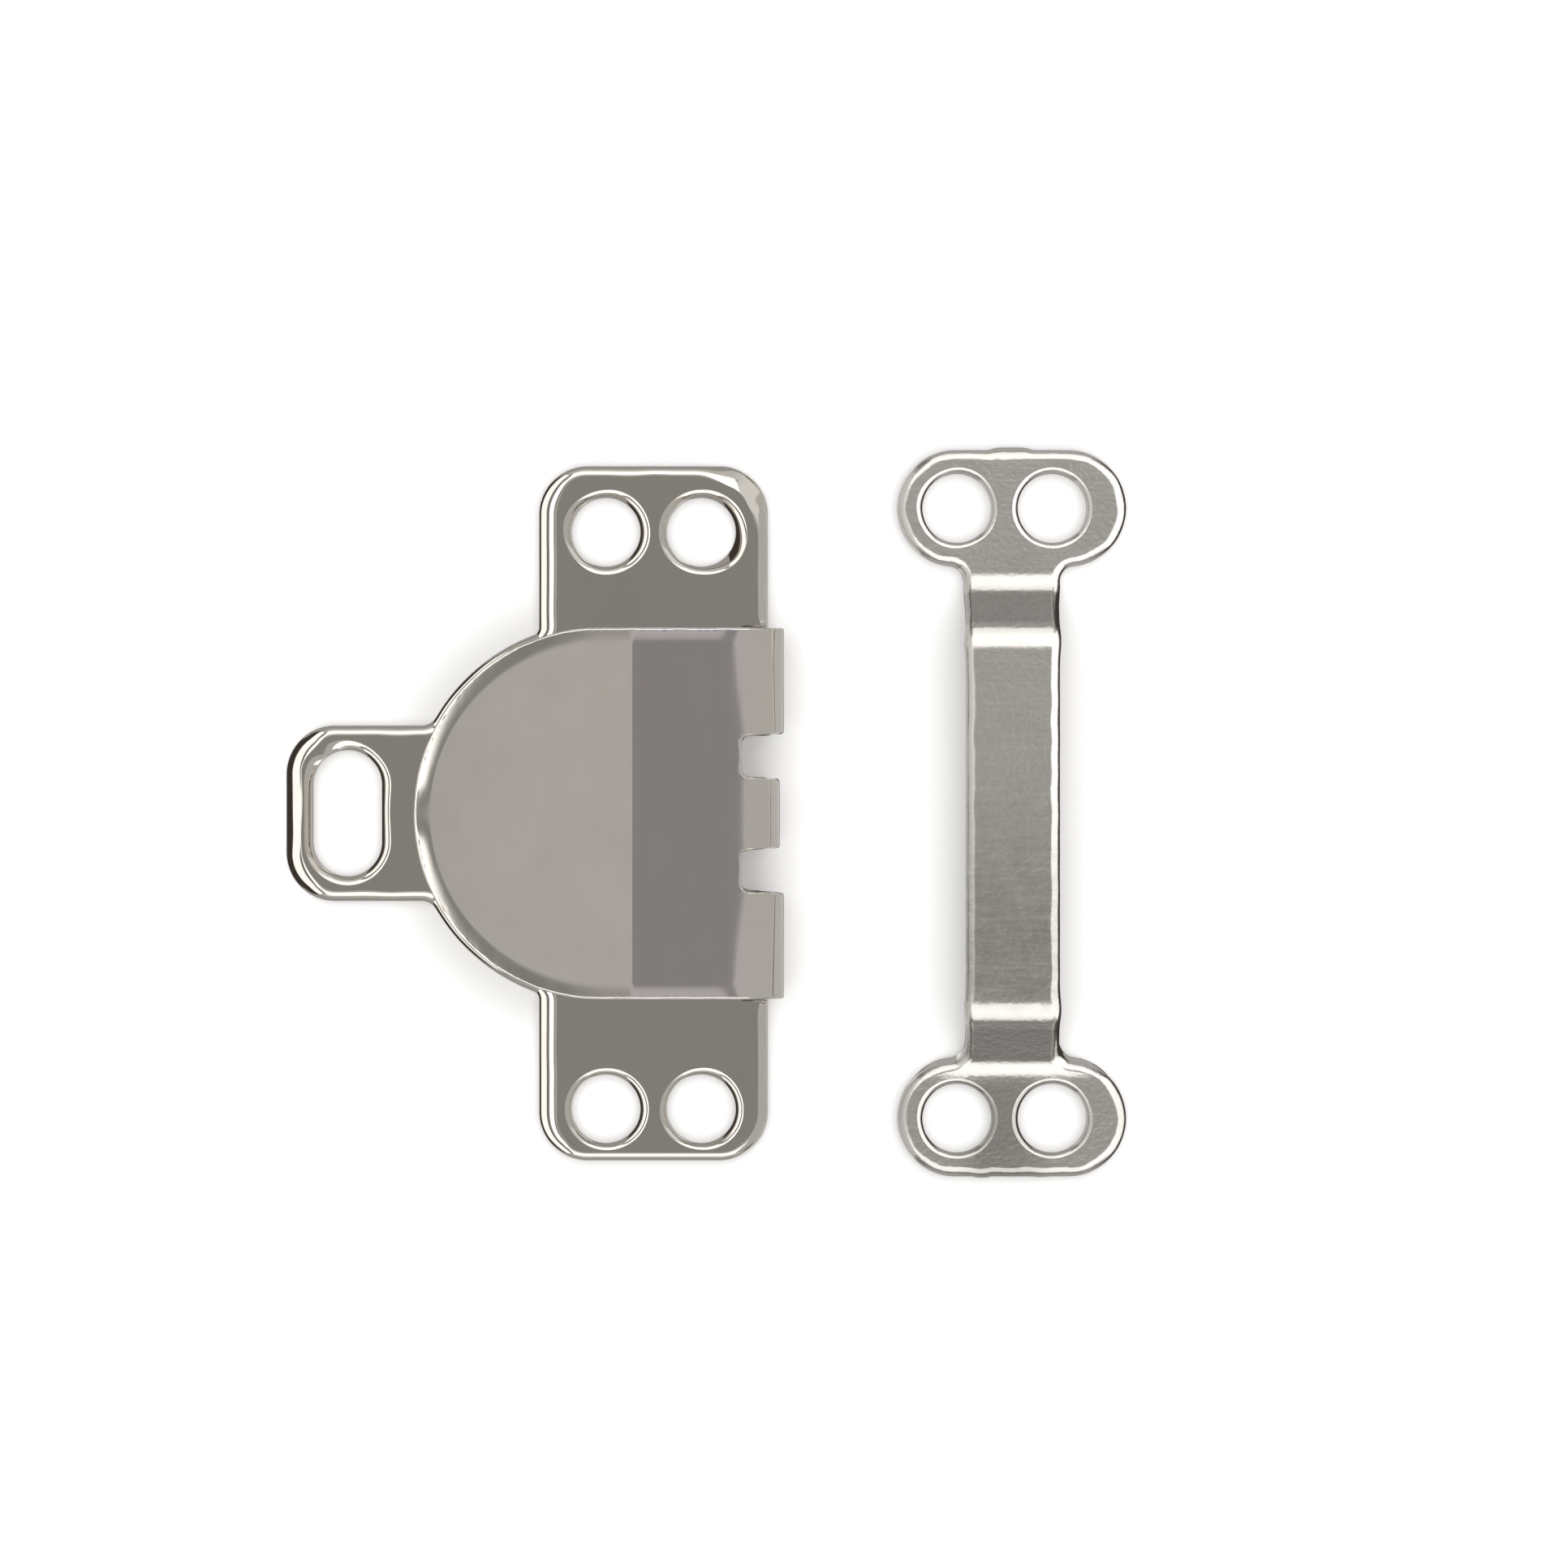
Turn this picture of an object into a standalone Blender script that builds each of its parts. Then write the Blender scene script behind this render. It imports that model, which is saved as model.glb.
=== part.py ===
"""A sew-on trouser hook and bar, pressed from sheet steel and nickel plated.

Two loose pieces lie face up beside each other. The hook is one blank folded back over itself,
so that a tongue lies above a base. The bar is a strip with two sewing feet and a raised bridge.
In use the bar is turned over onto the hook and its bridge slides in under the tongue.
Units are metres and +Z is up. The origin is below the middle of the pair, on the table.
"""

import math

import bmesh
import bpy

# Sheet metal, shared by both pieces
SHEET = 0.00060
EDGE_CHAMFER = 0.00010
ARC_STEP = math.radians(12)

# Sewing holes, shared by both pieces
HOLE_DIAMETER = 0.00200
HOLE_PITCH = 0.00275

# Bar
BRIDGE_WIDTH = 0.00270
BRIDGE_OFFSET = -0.00034  # the bridge was pressed a little nearer to one foot
FOOT_WIDTH = 0.00660
FOOT_DEPTH = 0.00336
FOOT_HOLE_OFFSET = -0.00021
NECK_FILLET = 0.00050
RISER_ANGLE = math.radians(40)
BRIDGE_BEND_RADIUS = 0.00080
FOOT_BEND_RADIUS = 0.00120
RISER_BEND_STEPS = 4
FOOT_OVERLAP = 0.00017  # the foot starts to widen this much before the lower bend ends

# Hook
TONGUE_WIDTH = 0.01064
TONGUE_REACH = 0.00408  # from the fold line to the centre of the round tip
TONGUE_SLOPE = math.radians(4.5)
LOBE_MARGIN = 0.00017  # the base shows this much round the tongue's tip
STRIP_WIDTH = 0.00660
EAR_LENGTH = 0.00453  # from the lobe's side to the end of the strip
FOLD_INSET = 0.00076  # from the strip's right edge to the fold line
CORNER_RADIUS = 0.00140
LOBE_FILLET = 0.00025
TAB_LENGTH = 0.00358
TAB_WIDTH = 0.00506
TAB_FILLET = 0.00050
TAB_SLOT_WIDTH = 0.00200
TAB_SLOT_LENGTH = 0.00365
TAB_RIM = 0.00077
HOLE_TO_TOP = 0.00190
HOLE_TO_BOTTOM = 0.00148
RELIEF_SLIT = 0.00030
FOLD_SLOT_WIDTH = 0.00117
FOLD_SLOT_CORNER = 0.00020
FOLD_SLOT_PITCH = 0.00328
FOLD_STEPS = 12

# Clearances between the two pieces when they are hooked together
TIP_CLEARANCE = 0.00015  # bar sheet under the tip of the tongue
BRIDGE_CLEARANCE = 0.00070  # tongue sheet under the bridge
RISER_CLEARANCE = 0.00084  # from each side of the tongue to the middle of a riser
SEAT_PLAY = 0.00041  # bridge along the level part of the tongue

# The pair as it lies
PIECE_GAP = 0.00328

# Hook sizes that follow
TONGUE_RADIUS = TONGUE_WIDTH / 2
LOBE_RADIUS = TONGUE_RADIUS + LOBE_MARGIN
STRIP_HALF_HEIGHT = LOBE_RADIUS + EAR_LENGTH
SEAT_LENGTH = BRIDGE_WIDTH + SEAT_PLAY
TIP_LENGTH = TONGUE_REACH + TONGUE_RADIUS - SEAT_LENGTH
TIP_DROP = TIP_LENGTH * math.tan(TONGUE_SLOPE)
MOUTH = SHEET + TIP_CLEARANCE + TIP_DROP
FOLD_MIDDLE_RADIUS = (MOUTH + SHEET) / 2
FOLD_OUTER_RADIUS = MOUTH / 2 + SHEET
FOLD_LENGTH = math.pi * FOLD_MIDDLE_RADIUS

# Bar sizes that follow
BRIDGE_RISE = SHEET + BRIDGE_CLEARANCE
BRIDGE_SPAN = TONGUE_WIDTH + 2 * RISER_CLEARANCE
BEND_RADII = BRIDGE_BEND_RADIUS + FOOT_BEND_RADIUS
RISER_LENGTH = (BRIDGE_RISE - BEND_RADII * (1 - math.cos(RISER_ANGLE))) / math.sin(RISER_ANGLE)
RISER_RUN = BEND_RADII * math.sin(RISER_ANGLE) + RISER_LENGTH * math.cos(RISER_ANGLE)
BRIDGE_BEND_LENGTH = BRIDGE_BEND_RADIUS * RISER_ANGLE
FOOT_BEND_LENGTH = FOOT_BEND_RADIUS * RISER_ANGLE
RISER_STRETCH = BRIDGE_BEND_LENGTH + FOOT_BEND_LENGTH + RISER_LENGTH - RISER_RUN
BRIDGE_HALF_FLAT = (BRIDGE_SPAN - RISER_RUN) / 2
FOOT_CENTRE = (BRIDGE_SPAN + RISER_RUN + FOOT_DEPTH) / 2 - FOOT_OVERLAP

# Places along X that follow
PAIR_LENGTH = (
    TAB_LENGTH + LOBE_RADIUS + TONGUE_REACH + FOLD_OUTER_RADIUS + PIECE_GAP + FOOT_WIDTH
)
TAB_END_X = -PAIR_LENGTH / 2
LOBE_X = TAB_END_X + TAB_LENGTH + LOBE_RADIUS
FOLD_X = LOBE_X + TONGUE_REACH
STRIP_RIGHT_X = FOLD_X + FOLD_INSET
STRIP_LEFT_X = STRIP_RIGHT_X - STRIP_WIDTH
BAR_X = PAIR_LENGTH / 2 - FOOT_WIDTH / 2


def clear_scene():
    for obj in list(bpy.context.scene.objects):
        bpy.data.objects.remove(obj, do_unlink=True)


def plated_steel(name, colour, roughness):
    material = bpy.data.materials.new(name)
    material.use_nodes = True
    shader = material.node_tree.nodes["Principled BSDF"]
    shader.inputs["Base Color"].default_value = (*colour, 1.0)
    shader.inputs["Metallic"].default_value = 1.0
    shader.inputs["Roughness"].default_value = roughness
    material.diffuse_color = (*colour, 1.0)
    return material


def arc(centre, radius, start, end):
    """Points along an arc, both ends included, angles in radians."""
    steps = max(2, math.ceil(abs(end - start) / ARC_STEP))
    angles = [start + (end - start) * i / steps for i in range(steps + 1)]
    return [(centre[0] + radius * math.cos(a), centre[1] + radius * math.sin(a)) for a in angles]


def round_hole(centre):
    return arc(centre, HOLE_DIAMETER / 2, 0, 2 * math.pi)[:-1]


def round_slot(centre, length, width):
    """A slot with round ends, its length along Y."""
    straight = (length - width) / 2
    upper = (centre[0], centre[1] + straight)
    lower = (centre[0], centre[1] - straight)
    return arc(upper, width / 2, 0, math.pi) + arc(lower, width / 2, math.pi, 2 * math.pi)


def square_slot(centre, size_x, size_y, corner):
    """A rectangular slot with small round corners."""
    x, y = size_x / 2 - corner, size_y / 2 - corner
    points = []
    for quarter, (side_x, side_y) in enumerate(((1, 1), (-1, 1), (-1, -1), (1, -1))):
        middle = (centre[0] + side_x * x, centre[1] + side_y * y)
        turn = quarter * math.pi / 2
        points += arc(middle, corner, turn, turn + math.pi / 2)
    return points


def add_loop(bm, points):
    verts = [bm.verts.new((x, y, 0)) for x, y in points]
    for here, there in zip(verts, verts[1:] + verts[:1]):
        bm.edges.new((here, there))


def flat_blank(outline, holes):
    """The blank as it is punched: a chamfered plate from z = 0 up to the sheet's thickness."""
    bm = bmesh.new()
    add_loop(bm, outline)
    for hole in holes:
        add_loop(bm, hole)
    bmesh.ops.triangle_fill(bm, edges=bm.edges[:], use_beauty=True)
    made = bmesh.ops.extrude_face_region(bm, geom=bm.faces[:], use_keep_orig=True)
    raised = [item for item in made["geom"] if isinstance(item, bmesh.types.BMVert)]
    bmesh.ops.translate(bm, verts=raised, vec=(0, 0, SHEET))
    bmesh.ops.recalc_face_normals(bm, faces=bm.faces[:])
    rims = [edge for edge in bm.edges if edge.calc_face_angle(0) > math.radians(80)]
    rims = [edge for edge in rims if abs(edge.verts[0].co.z - edge.verts[1].co.z) < SHEET / 2]
    bmesh.ops.bevel(
        bm, geom=rims, offset=EDGE_CHAMFER, segments=1, affect="EDGES", clamp_overlap=True
    )
    return bm


def cut_across(bm, places, normal):
    """Adds an edge loop across the blank at each place, so that it can bend there."""
    for place in places:
        point = [place * n for n in normal]
        geometry = bm.verts[:] + bm.edges[:] + bm.faces[:]
        bmesh.ops.bisect_plane(bm, geom=geometry, plane_co=point, plane_no=normal)


def add_pressing(name, bm, bend, material):
    """Bends the blank and makes it an object."""
    for vert in bm.verts:
        vert.co = bend(*vert.co)
    bmesh.ops.recalc_face_normals(bm, faces=bm.faces[:])
    mesh = bpy.data.meshes.new(name)
    bm.to_mesh(mesh)
    bm.free()
    mesh.materials.append(material)
    mesh.shade_smooth()
    mesh.set_sharp_from_angle(angle=math.radians(30))
    obj = bpy.data.objects.new(name, mesh)
    bpy.context.collection.objects.link(obj)
    return obj


def tongue_edge():
    """Upper half of the tongue in the blank, from its tip back to the relief slit."""
    centre = (FOLD_X + FOLD_LENGTH + TONGUE_REACH, 0)
    return arc(centre, TONGUE_RADIUS, 0, math.pi / 2) + [(FOLD_X, TONGUE_RADIUS)]


def ear_edge():
    """Upper ear of the strip, from the relief slit round its two corners."""
    inner_right = STRIP_RIGHT_X - CORNER_RADIUS
    inner_left = STRIP_LEFT_X + CORNER_RADIUS
    inner_top = STRIP_HALF_HEIGHT - CORNER_RADIUS
    slit_side = TONGUE_RADIUS + RELIEF_SLIT
    return (
        [(FOLD_X, slit_side), (STRIP_RIGHT_X, slit_side)]
        + arc((inner_right, inner_top), CORNER_RADIUS, 0, math.pi / 2)
        + arc((inner_left, inner_top), CORNER_RADIUS, math.pi / 2, math.pi)
    )


def lobe_edge():
    """Upper half of the round lobe, with the fillets that join it to the ear and to the tab."""
    ear_x = STRIP_LEFT_X - LOBE_FILLET - LOBE_X
    ear_y = math.sqrt((LOBE_RADIUS + LOBE_FILLET) ** 2 - ear_x**2)
    tab_y = TAB_WIDTH / 2 + TAB_FILLET
    tab_x = -math.sqrt((LOBE_RADIUS + TAB_FILLET) ** 2 - tab_y**2)
    ear_turn = math.atan2(ear_y, ear_x)
    tab_turn = math.atan2(tab_y, tab_x)
    return (
        arc((LOBE_X + ear_x, ear_y), LOBE_FILLET, 0, ear_turn - math.pi)
        + arc((LOBE_X, 0), LOBE_RADIUS, ear_turn, tab_turn)[1:-1]
        + arc((LOBE_X + tab_x, tab_y), TAB_FILLET, tab_turn - math.pi, -math.pi / 2)
    )


def tab_edge():
    """Upper corner of the sewing tab."""
    centre = (TAB_END_X + CORNER_RADIUS, TAB_WIDTH / 2 - CORNER_RADIUS)
    return arc(centre, CORNER_RADIUS, math.pi / 2, math.pi)


def hook_outline():
    upper = tongue_edge() + ear_edge() + lobe_edge() + tab_edge()
    lower = [(x, -y) for x, y in reversed(upper[1:])]
    return upper + lower


def hook_holes():
    strip_x = (STRIP_LEFT_X + STRIP_RIGHT_X) / 2
    top_y = STRIP_HALF_HEIGHT - HOLE_TO_TOP
    bottom_y = HOLE_TO_BOTTOM - STRIP_HALF_HEIGHT
    sides = (-HOLE_PITCH / 2, HOLE_PITCH / 2)
    holes = [round_hole((strip_x + side, y)) for y in (top_y, bottom_y) for side in sides]
    slot_x = TAB_END_X + TAB_RIM + TAB_SLOT_WIDTH / 2
    holes.append(round_slot((slot_x, 0), TAB_SLOT_LENGTH, TAB_SLOT_WIDTH))
    for y in (-FOLD_SLOT_PITCH / 2, FOLD_SLOT_PITCH / 2):
        middle = (FOLD_X + FOLD_LENGTH / 2, y)
        holes.append(square_slot(middle, FOLD_LENGTH, FOLD_SLOT_WIDTH, FOLD_SLOT_CORNER))
    return holes


def fold_tongue(u, v, w):
    """Rolls the blank up and back past the fold line, then slopes the tip past the crease.

    The ears of the strip reach past the fold line too, but they stay flat.
    """
    inner = MOUTH / 2
    radius = inner + SHEET - w
    middle_z = SHEET + inner
    past = u - FOLD_X
    on_ear = abs(v) > TONGUE_RADIUS + RELIEF_SLIT / 2
    if past <= 0 or on_ear:
        return u, v, w
    if past < FOLD_LENGTH:
        turn = past / FOLD_MIDDLE_RADIUS
        return FOLD_X + radius * math.sin(turn), v, middle_z - radius * math.cos(turn)
    back = past - FOLD_LENGTH
    drop = max(0, back - SEAT_LENGTH) * math.tan(TONGUE_SLOPE)
    return FOLD_X - back, v, middle_z + radius - drop


def add_hook():
    bm = flat_blank(hook_outline(), hook_holes())
    bends = [FOLD_X + FOLD_LENGTH * i / FOLD_STEPS for i in range(FOLD_STEPS + 1)]
    crease = FOLD_X + FOLD_LENGTH + SEAT_LENGTH
    cut_across(bm, bends + [crease], (1, 0, 0))
    material = plated_steel("bright_nickel", (0.52, 0.50, 0.46), 0.14)
    add_pressing("hook", bm, fold_tongue, material)


def foot_places():
    """Centres of the upper and lower foot in the blank, both measured from the bridge's middle."""
    stretched = FOOT_CENTRE + RISER_STRETCH
    return stretched - BRIDGE_OFFSET, stretched + BRIDGE_OFFSET


def foot_edge(foot_y):
    """Right half of a foot's outline, from the bridge's side round to the foot's outer end.

    The neck's fillet touches the foot's round end, or its straight side where that reaches as far.
    """
    half_depth = FOOT_DEPTH / 2
    end_x = FOOT_WIDTH / 2 - half_depth
    neck_x = BRIDGE_WIDTH / 2 + NECK_FILLET
    past_end = max(0.0, neck_x - end_x)
    neck_down = math.sqrt((half_depth + NECK_FILLET) ** 2 - past_end**2)
    turn = math.atan2(-neck_down, past_end)
    neck = arc((neck_x, foot_y - neck_down), NECK_FILLET, math.pi, turn + math.pi)
    return neck[:-1] + arc((end_x, foot_y), half_depth, turn, math.pi / 2)


def bar_outline():
    upper, lower = (foot_edge(y) for y in foot_places())
    top = upper + [(-x, y) for x, y in reversed(upper)]
    bottom = [(-x, -y) for x, y in lower] + [(x, -y) for x, y in reversed(lower)]
    return [(BAR_X + x, y) for x, y in top + bottom]


def bar_holes():
    upper, lower = foot_places()
    sides = (-HOLE_PITCH / 2, HOLE_PITCH / 2)
    middle = BAR_X + FOOT_HOLE_OFFSET
    return [round_hole((middle + side, y)) for y in (upper, -lower) for side in sides]


def raise_bridge(u, v, w):
    """Steps the strip down from the bridge to the feet with two bends and a riser."""
    along = abs(v)
    lift = w - SHEET / 2
    first = BRIDGE_HALF_FLAT + BRIDGE_BEND_LENGTH
    second = first + RISER_LENGTH
    riser_y = BRIDGE_HALF_FLAT + BRIDGE_BEND_RADIUS * math.sin(RISER_ANGLE)
    riser_z = BRIDGE_RISE - BRIDGE_BEND_RADIUS * (1 - math.cos(RISER_ANGLE))
    if along <= BRIDGE_HALF_FLAT:
        y, z, turn = along, BRIDGE_RISE, 0.0
    elif along <= first:
        turn = (along - BRIDGE_HALF_FLAT) / BRIDGE_BEND_RADIUS
        y = BRIDGE_HALF_FLAT + BRIDGE_BEND_RADIUS * math.sin(turn)
        z = BRIDGE_RISE - BRIDGE_BEND_RADIUS * (1 - math.cos(turn))
    elif along <= second:
        turn = RISER_ANGLE
        y = riser_y + (along - first) * math.cos(turn)
        z = riser_z - (along - first) * math.sin(turn)
    else:
        turn = max(0.0, RISER_ANGLE - (along - second) / FOOT_BEND_RADIUS)
        level = max(0.0, along - second - FOOT_BEND_LENGTH)
        y = BRIDGE_HALF_FLAT + RISER_RUN - FOOT_BEND_RADIUS * math.sin(turn) + level
        z = FOOT_BEND_RADIUS * (1 - math.cos(turn))
    y += lift * math.sin(turn)
    z += SHEET / 2 + lift * math.cos(turn)
    return u, math.copysign(y, v) + BRIDGE_OFFSET, z


def add_bar():
    bm = flat_blank(bar_outline(), bar_holes())
    lower = BRIDGE_HALF_FLAT + BRIDGE_BEND_LENGTH + RISER_LENGTH
    stretches = ((BRIDGE_HALF_FLAT, BRIDGE_BEND_LENGTH), (lower, FOOT_BEND_LENGTH))
    shares = [i / RISER_BEND_STEPS for i in range(RISER_BEND_STEPS + 1)]
    bends = [start + length * share for start, length in stretches for share in shares]
    cut_across(bm, bends + [-place for place in bends], (0, 1, 0))
    material = plated_steel("satin_nickel", (0.56, 0.54, 0.50), 0.32)
    add_pressing("bar", bm, raise_bridge, material)


def main():
    clear_scene()
    add_hook()
    add_bar()


main()
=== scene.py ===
"""Nickel-plated hook and bar for a waistband, as fine meshes with plated-steel materials.

Each piece starts as the flat blank that a press punches. Its rims are profiles carried along
the outline and the holes, the flats between them are grids, and the whole blank is then bent.
"""

import math

import bpy
import numpy as np
from bpy.props import FloatProperty, FloatVectorProperty, PointerProperty
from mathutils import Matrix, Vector
from mathutils.geometry import delaunay_2d_cdt


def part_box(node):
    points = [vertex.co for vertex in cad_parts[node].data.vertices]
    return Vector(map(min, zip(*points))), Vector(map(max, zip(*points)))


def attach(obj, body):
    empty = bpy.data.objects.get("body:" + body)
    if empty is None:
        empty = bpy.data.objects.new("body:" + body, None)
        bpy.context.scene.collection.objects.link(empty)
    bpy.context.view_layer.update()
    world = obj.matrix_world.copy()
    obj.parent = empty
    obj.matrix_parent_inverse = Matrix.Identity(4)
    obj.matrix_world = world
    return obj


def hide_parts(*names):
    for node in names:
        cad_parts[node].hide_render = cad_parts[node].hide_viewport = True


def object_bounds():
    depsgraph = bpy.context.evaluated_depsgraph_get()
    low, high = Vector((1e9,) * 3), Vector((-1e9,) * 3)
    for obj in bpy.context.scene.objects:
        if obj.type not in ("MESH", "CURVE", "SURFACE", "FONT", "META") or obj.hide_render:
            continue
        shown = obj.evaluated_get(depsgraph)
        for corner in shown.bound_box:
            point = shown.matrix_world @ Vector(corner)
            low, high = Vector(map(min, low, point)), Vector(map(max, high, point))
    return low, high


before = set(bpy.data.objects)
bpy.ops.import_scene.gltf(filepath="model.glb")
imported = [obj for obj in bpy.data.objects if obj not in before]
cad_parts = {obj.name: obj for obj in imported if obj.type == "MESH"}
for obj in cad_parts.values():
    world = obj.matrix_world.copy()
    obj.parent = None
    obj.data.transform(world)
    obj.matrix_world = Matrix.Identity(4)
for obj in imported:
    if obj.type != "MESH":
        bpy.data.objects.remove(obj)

bl_info = {
    "name": "Sew-on hook and bar",
    "version": (1, 0, 0),
    "blender": (4, 5, 0),
    "location": "View3D > Sidebar > Hook and bar",
    "description": "Builds a nickel-plated waistband hook and its bar round a fixed frame",
    "category": "Add Mesh",
}

FRAME_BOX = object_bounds()
HOOK_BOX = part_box("hook")
BAR_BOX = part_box("bar")
MM = 0.001
QUARTER = math.pi / 2
FULL = 2 * math.pi
COLLAR = 0.015 * MM  # level metal kept beyond each rim
MARGIN = 0.12 * MM  # usual width of a rim's lower profile
BRINK = 0.06 * MM  # height that the lower profile rises to at the cut
SMEAR = 0.02  # how much the plating's roughness varies
HOLE_FACET = 0.45  # how straight the slope round a hole is
DEEPEST = 0.88  # share of the sheet that the upper profile may take
RIDGE_PLACE = 0.045 * MM  # the burr's distance from the cut
RIDGE_WIDTH = 0.025 * MM
UPPER_STEPS = np.array((0.0, 0.02, 0.05, 0.10, 0.17, 0.26, 0.37, 0.50, 0.64, 0.78, 0.90, 1.0))
LOWER_STEPS = np.array((0.0, 0.02, 0.045, 0.08, 0.12, 0.17, 0.24, 0.34, 0.48, 0.70, 1.0))


def length(name, default, description):
    """A size in metres, shown in the scene's length unit."""
    return FloatProperty(
        name=name, description=description, default=default, min=0.0, precision=5,
        subtype="DISTANCE", unit="LENGTH",
    )


def colour(name, default, description):
    return FloatVectorProperty(
        name=name, description=description, default=default, size=3, min=0.0, max=1.0,
        subtype="COLOR",
    )


class SheetSettings(bpy.types.PropertyGroup):
    """Sizes that the two pressings share."""

    thickness: length("Thickness", 0.0006, "Thickness of the sheet")
    hole: length("Hole", 0.0020, "Diameter of a sewing hole")
    hole_pitch: length("Hole pitch", 0.00275, "Between the middles of a pair of holes")
    spacing: length("Spacing", 0.00007, "Between mesh points along a rim")
    flat_spacing: length("Flat spacing", 0.00030, "Between mesh points on the flats")


class HookSettings(bpy.types.PropertyGroup):
    """Sizes of the hook, the folded pressing."""

    tab_width: length("Tab width", 0.00506, "Height of the sewing tab along Y")
    tab_length: length("Tab length", 0.00358, "From the lobe to the tab's end")
    tab_fillet: length("Tab fillet", 0.00050, "Fillet between tab and lobe")
    slot_width: length("Slot width", 0.00200, "Width of the tab's slot")
    slot_length: length("Slot length", 0.00365, "Length of the tab's slot")
    tab_rim: length("Tab rim", 0.00077, "Metal between the slot and the tab's end")
    hole_roll: length("Hole roll", 0.00022, "Width of the rounded rim of an upper hole")
    low_hole_roll: length("Lower hole roll", 0.00018, "Width of the rounded rim of a lower hole")
    low_roll: length("Lower roll", 0.00024, "Width of the rounded lower rim")
    tab_roll: length("Tab roll", 0.00047, "Width of the rounding at the tab's end")
    slot_roll: length("Slot roll", 0.00023, "Width of the rounding beside the tab's end")
    corner: length("Corner", 0.00140, "Radius of the outer corners")
    strip_width: length("Strip width", 0.00660, "Width of the upright strip along X")
    ear_length: length("Ear length", 0.00453, "From the lobe's side to the strip's end")
    lobe_margin: length("Lobe margin", 0.00017, "Base seen round the tongue's tip")
    lobe_fillet: length("Lobe fillet", 0.00025, "Fillet between lobe and strip")
    tongue_reach: length("Tongue reach", 0.00408, "From fold line to the tip's centre")
    seat_length: length("Seat length", 0.00311, "Level part of the tongue")
    tongue_drop: length("Tongue drop", 0.000495, "How far the tip slopes down")
    fold_inset: length("Fold inset", 0.00076, "From the strip's right edge to the fold line")
    relief: length("Relief", 0.00007, "Width of the slit beside the fold")
    relief_rim: length("Relief rim", 0.00003, "Width of the rims in that slit")
    relief_start: length("Relief start", 0.00050, "How far round its inner end they narrow")
    fold_slot: length("Fold slot", 0.00117, "Width of a slot through the fold")
    fold_slot_corner: length("Fold slot corner", 0.00020, "Corner radius of those slots")
    fold_slot_pitch: length("Fold slot pitch", 0.00328, "Between the middles of the slots")
    hole_to_top: length("Hole to top", 0.00190, "Hole middle to the strip's upper end")
    hole_to_bottom: length("Hole to bottom", 0.00148, "Hole middle to the lower end")
    left_roll: length("Left roll", 0.00054, "Width of the rounded left rims")
    right_roll: length("Right roll", 0.00030, "Width of the rounded right rims")
    end_roll: length("End roll", 0.00030, "Width of the rounded upper and lower rims")
    corner_roll: length("Corner roll", 0.00054, "Width of the dressed upper right corner")
    tongue_rim: length("Tongue rim", 0.00046, "Width of the lowered margin of the tongue")
    tongue_roll: length("Tongue roll", 0.00010, "Width of the rounding inside the fold")
    tongue_lip: length("Tongue lip", 0.000025, "How far that margin is lowered")
    burr: length("Burr", 0.000010, "Height of the burr round the tongue")
    plate: colour("Plate", (0.640, 0.610, 0.560), "Colour of the bright nickel")


class BarSettings(bpy.types.PropertyGroup):
    """Sizes of the bar."""

    foot_depth: length("Foot depth", 0.00336, "Size of a foot along Y")
    bridge_width: length("Bridge width", 0.00270, "Width of the bridge along X")
    bridge_span: length("Bridge span", 0.01232, "Between the middles of the risers")
    bridge_offset: length("Bridge offset", 0.00034, "How far the bridge sits towards -Y")
    neck_fillet: length("Neck fillet", 0.00050, "Fillet between bridge and foot")
    hole_offset: length("Hole offset", 0.00021, "How far the holes sit towards -X")
    riser_turn: FloatProperty(
        name="Riser angle", description="Slope of the risers", default=math.radians(40),
        subtype="ANGLE", unit="ROTATION",
    )
    bend_radius: length("Bend radius", 0.00080, "Middle radius of the upper riser bends")
    foot_radius: length("Foot radius", 0.00120, "Middle radius of the lower riser bends")
    roll: length("Roll", 0.00029, "Width of the rounded rims")
    hole_roll: length("Hole roll", 0.00016, "Width of the rounded rim of a hole")
    carrier_width: length("Carrier width", 0.00115, "Width of the stub left by the strip of blanks")
    carrier_height: length("Carrier height", 0.00008, "How far that stub stands out")
    swelling: length("Swelling", 0.000040, "How far the sides bulge beside a bend")
    lump: length("Lumps", 0.000035, "How far the two lumps below the lower holes stand out")
    plate: colour("Plate", (0.625, 0.604, 0.568), "Colour of the satin nickel")


# --- outlines -----------------------------------------------------------------------------


def arc(centre, radius, start, end, spacing):
    """Points evenly along a circle's arc: centre plus radius times cosine and sine of the turn.

    The last point is left out, because the next stretch starts there.
    """
    count = max(4, math.ceil(abs(end - start) * radius / spacing))
    turn = np.linspace(start, end, count, endpoint=False)
    return np.column_stack((centre[0] + radius * np.cos(turn), centre[1] + radius * np.sin(turn)))


def line(start, end, spacing):
    """Points evenly from start towards end, the end left out."""
    start, end = np.array(start), np.array(end)
    count = max(1, round(float(np.linalg.norm(end - start)) / spacing))
    share = np.arange(count)[:, None] / count
    return start + share * (end - start)


def mirrored(half, sign_x, sign_y):
    """The half outline turned over and run backwards, so that the whole runs one way."""
    return half[::-1] * (sign_x, sign_y)


def hole_loop(centre, radius, spacing):
    """A circle run clockwise, so that the metal lies on its left."""
    return arc(centre, radius, 0.0, -FULL, spacing)


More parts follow.
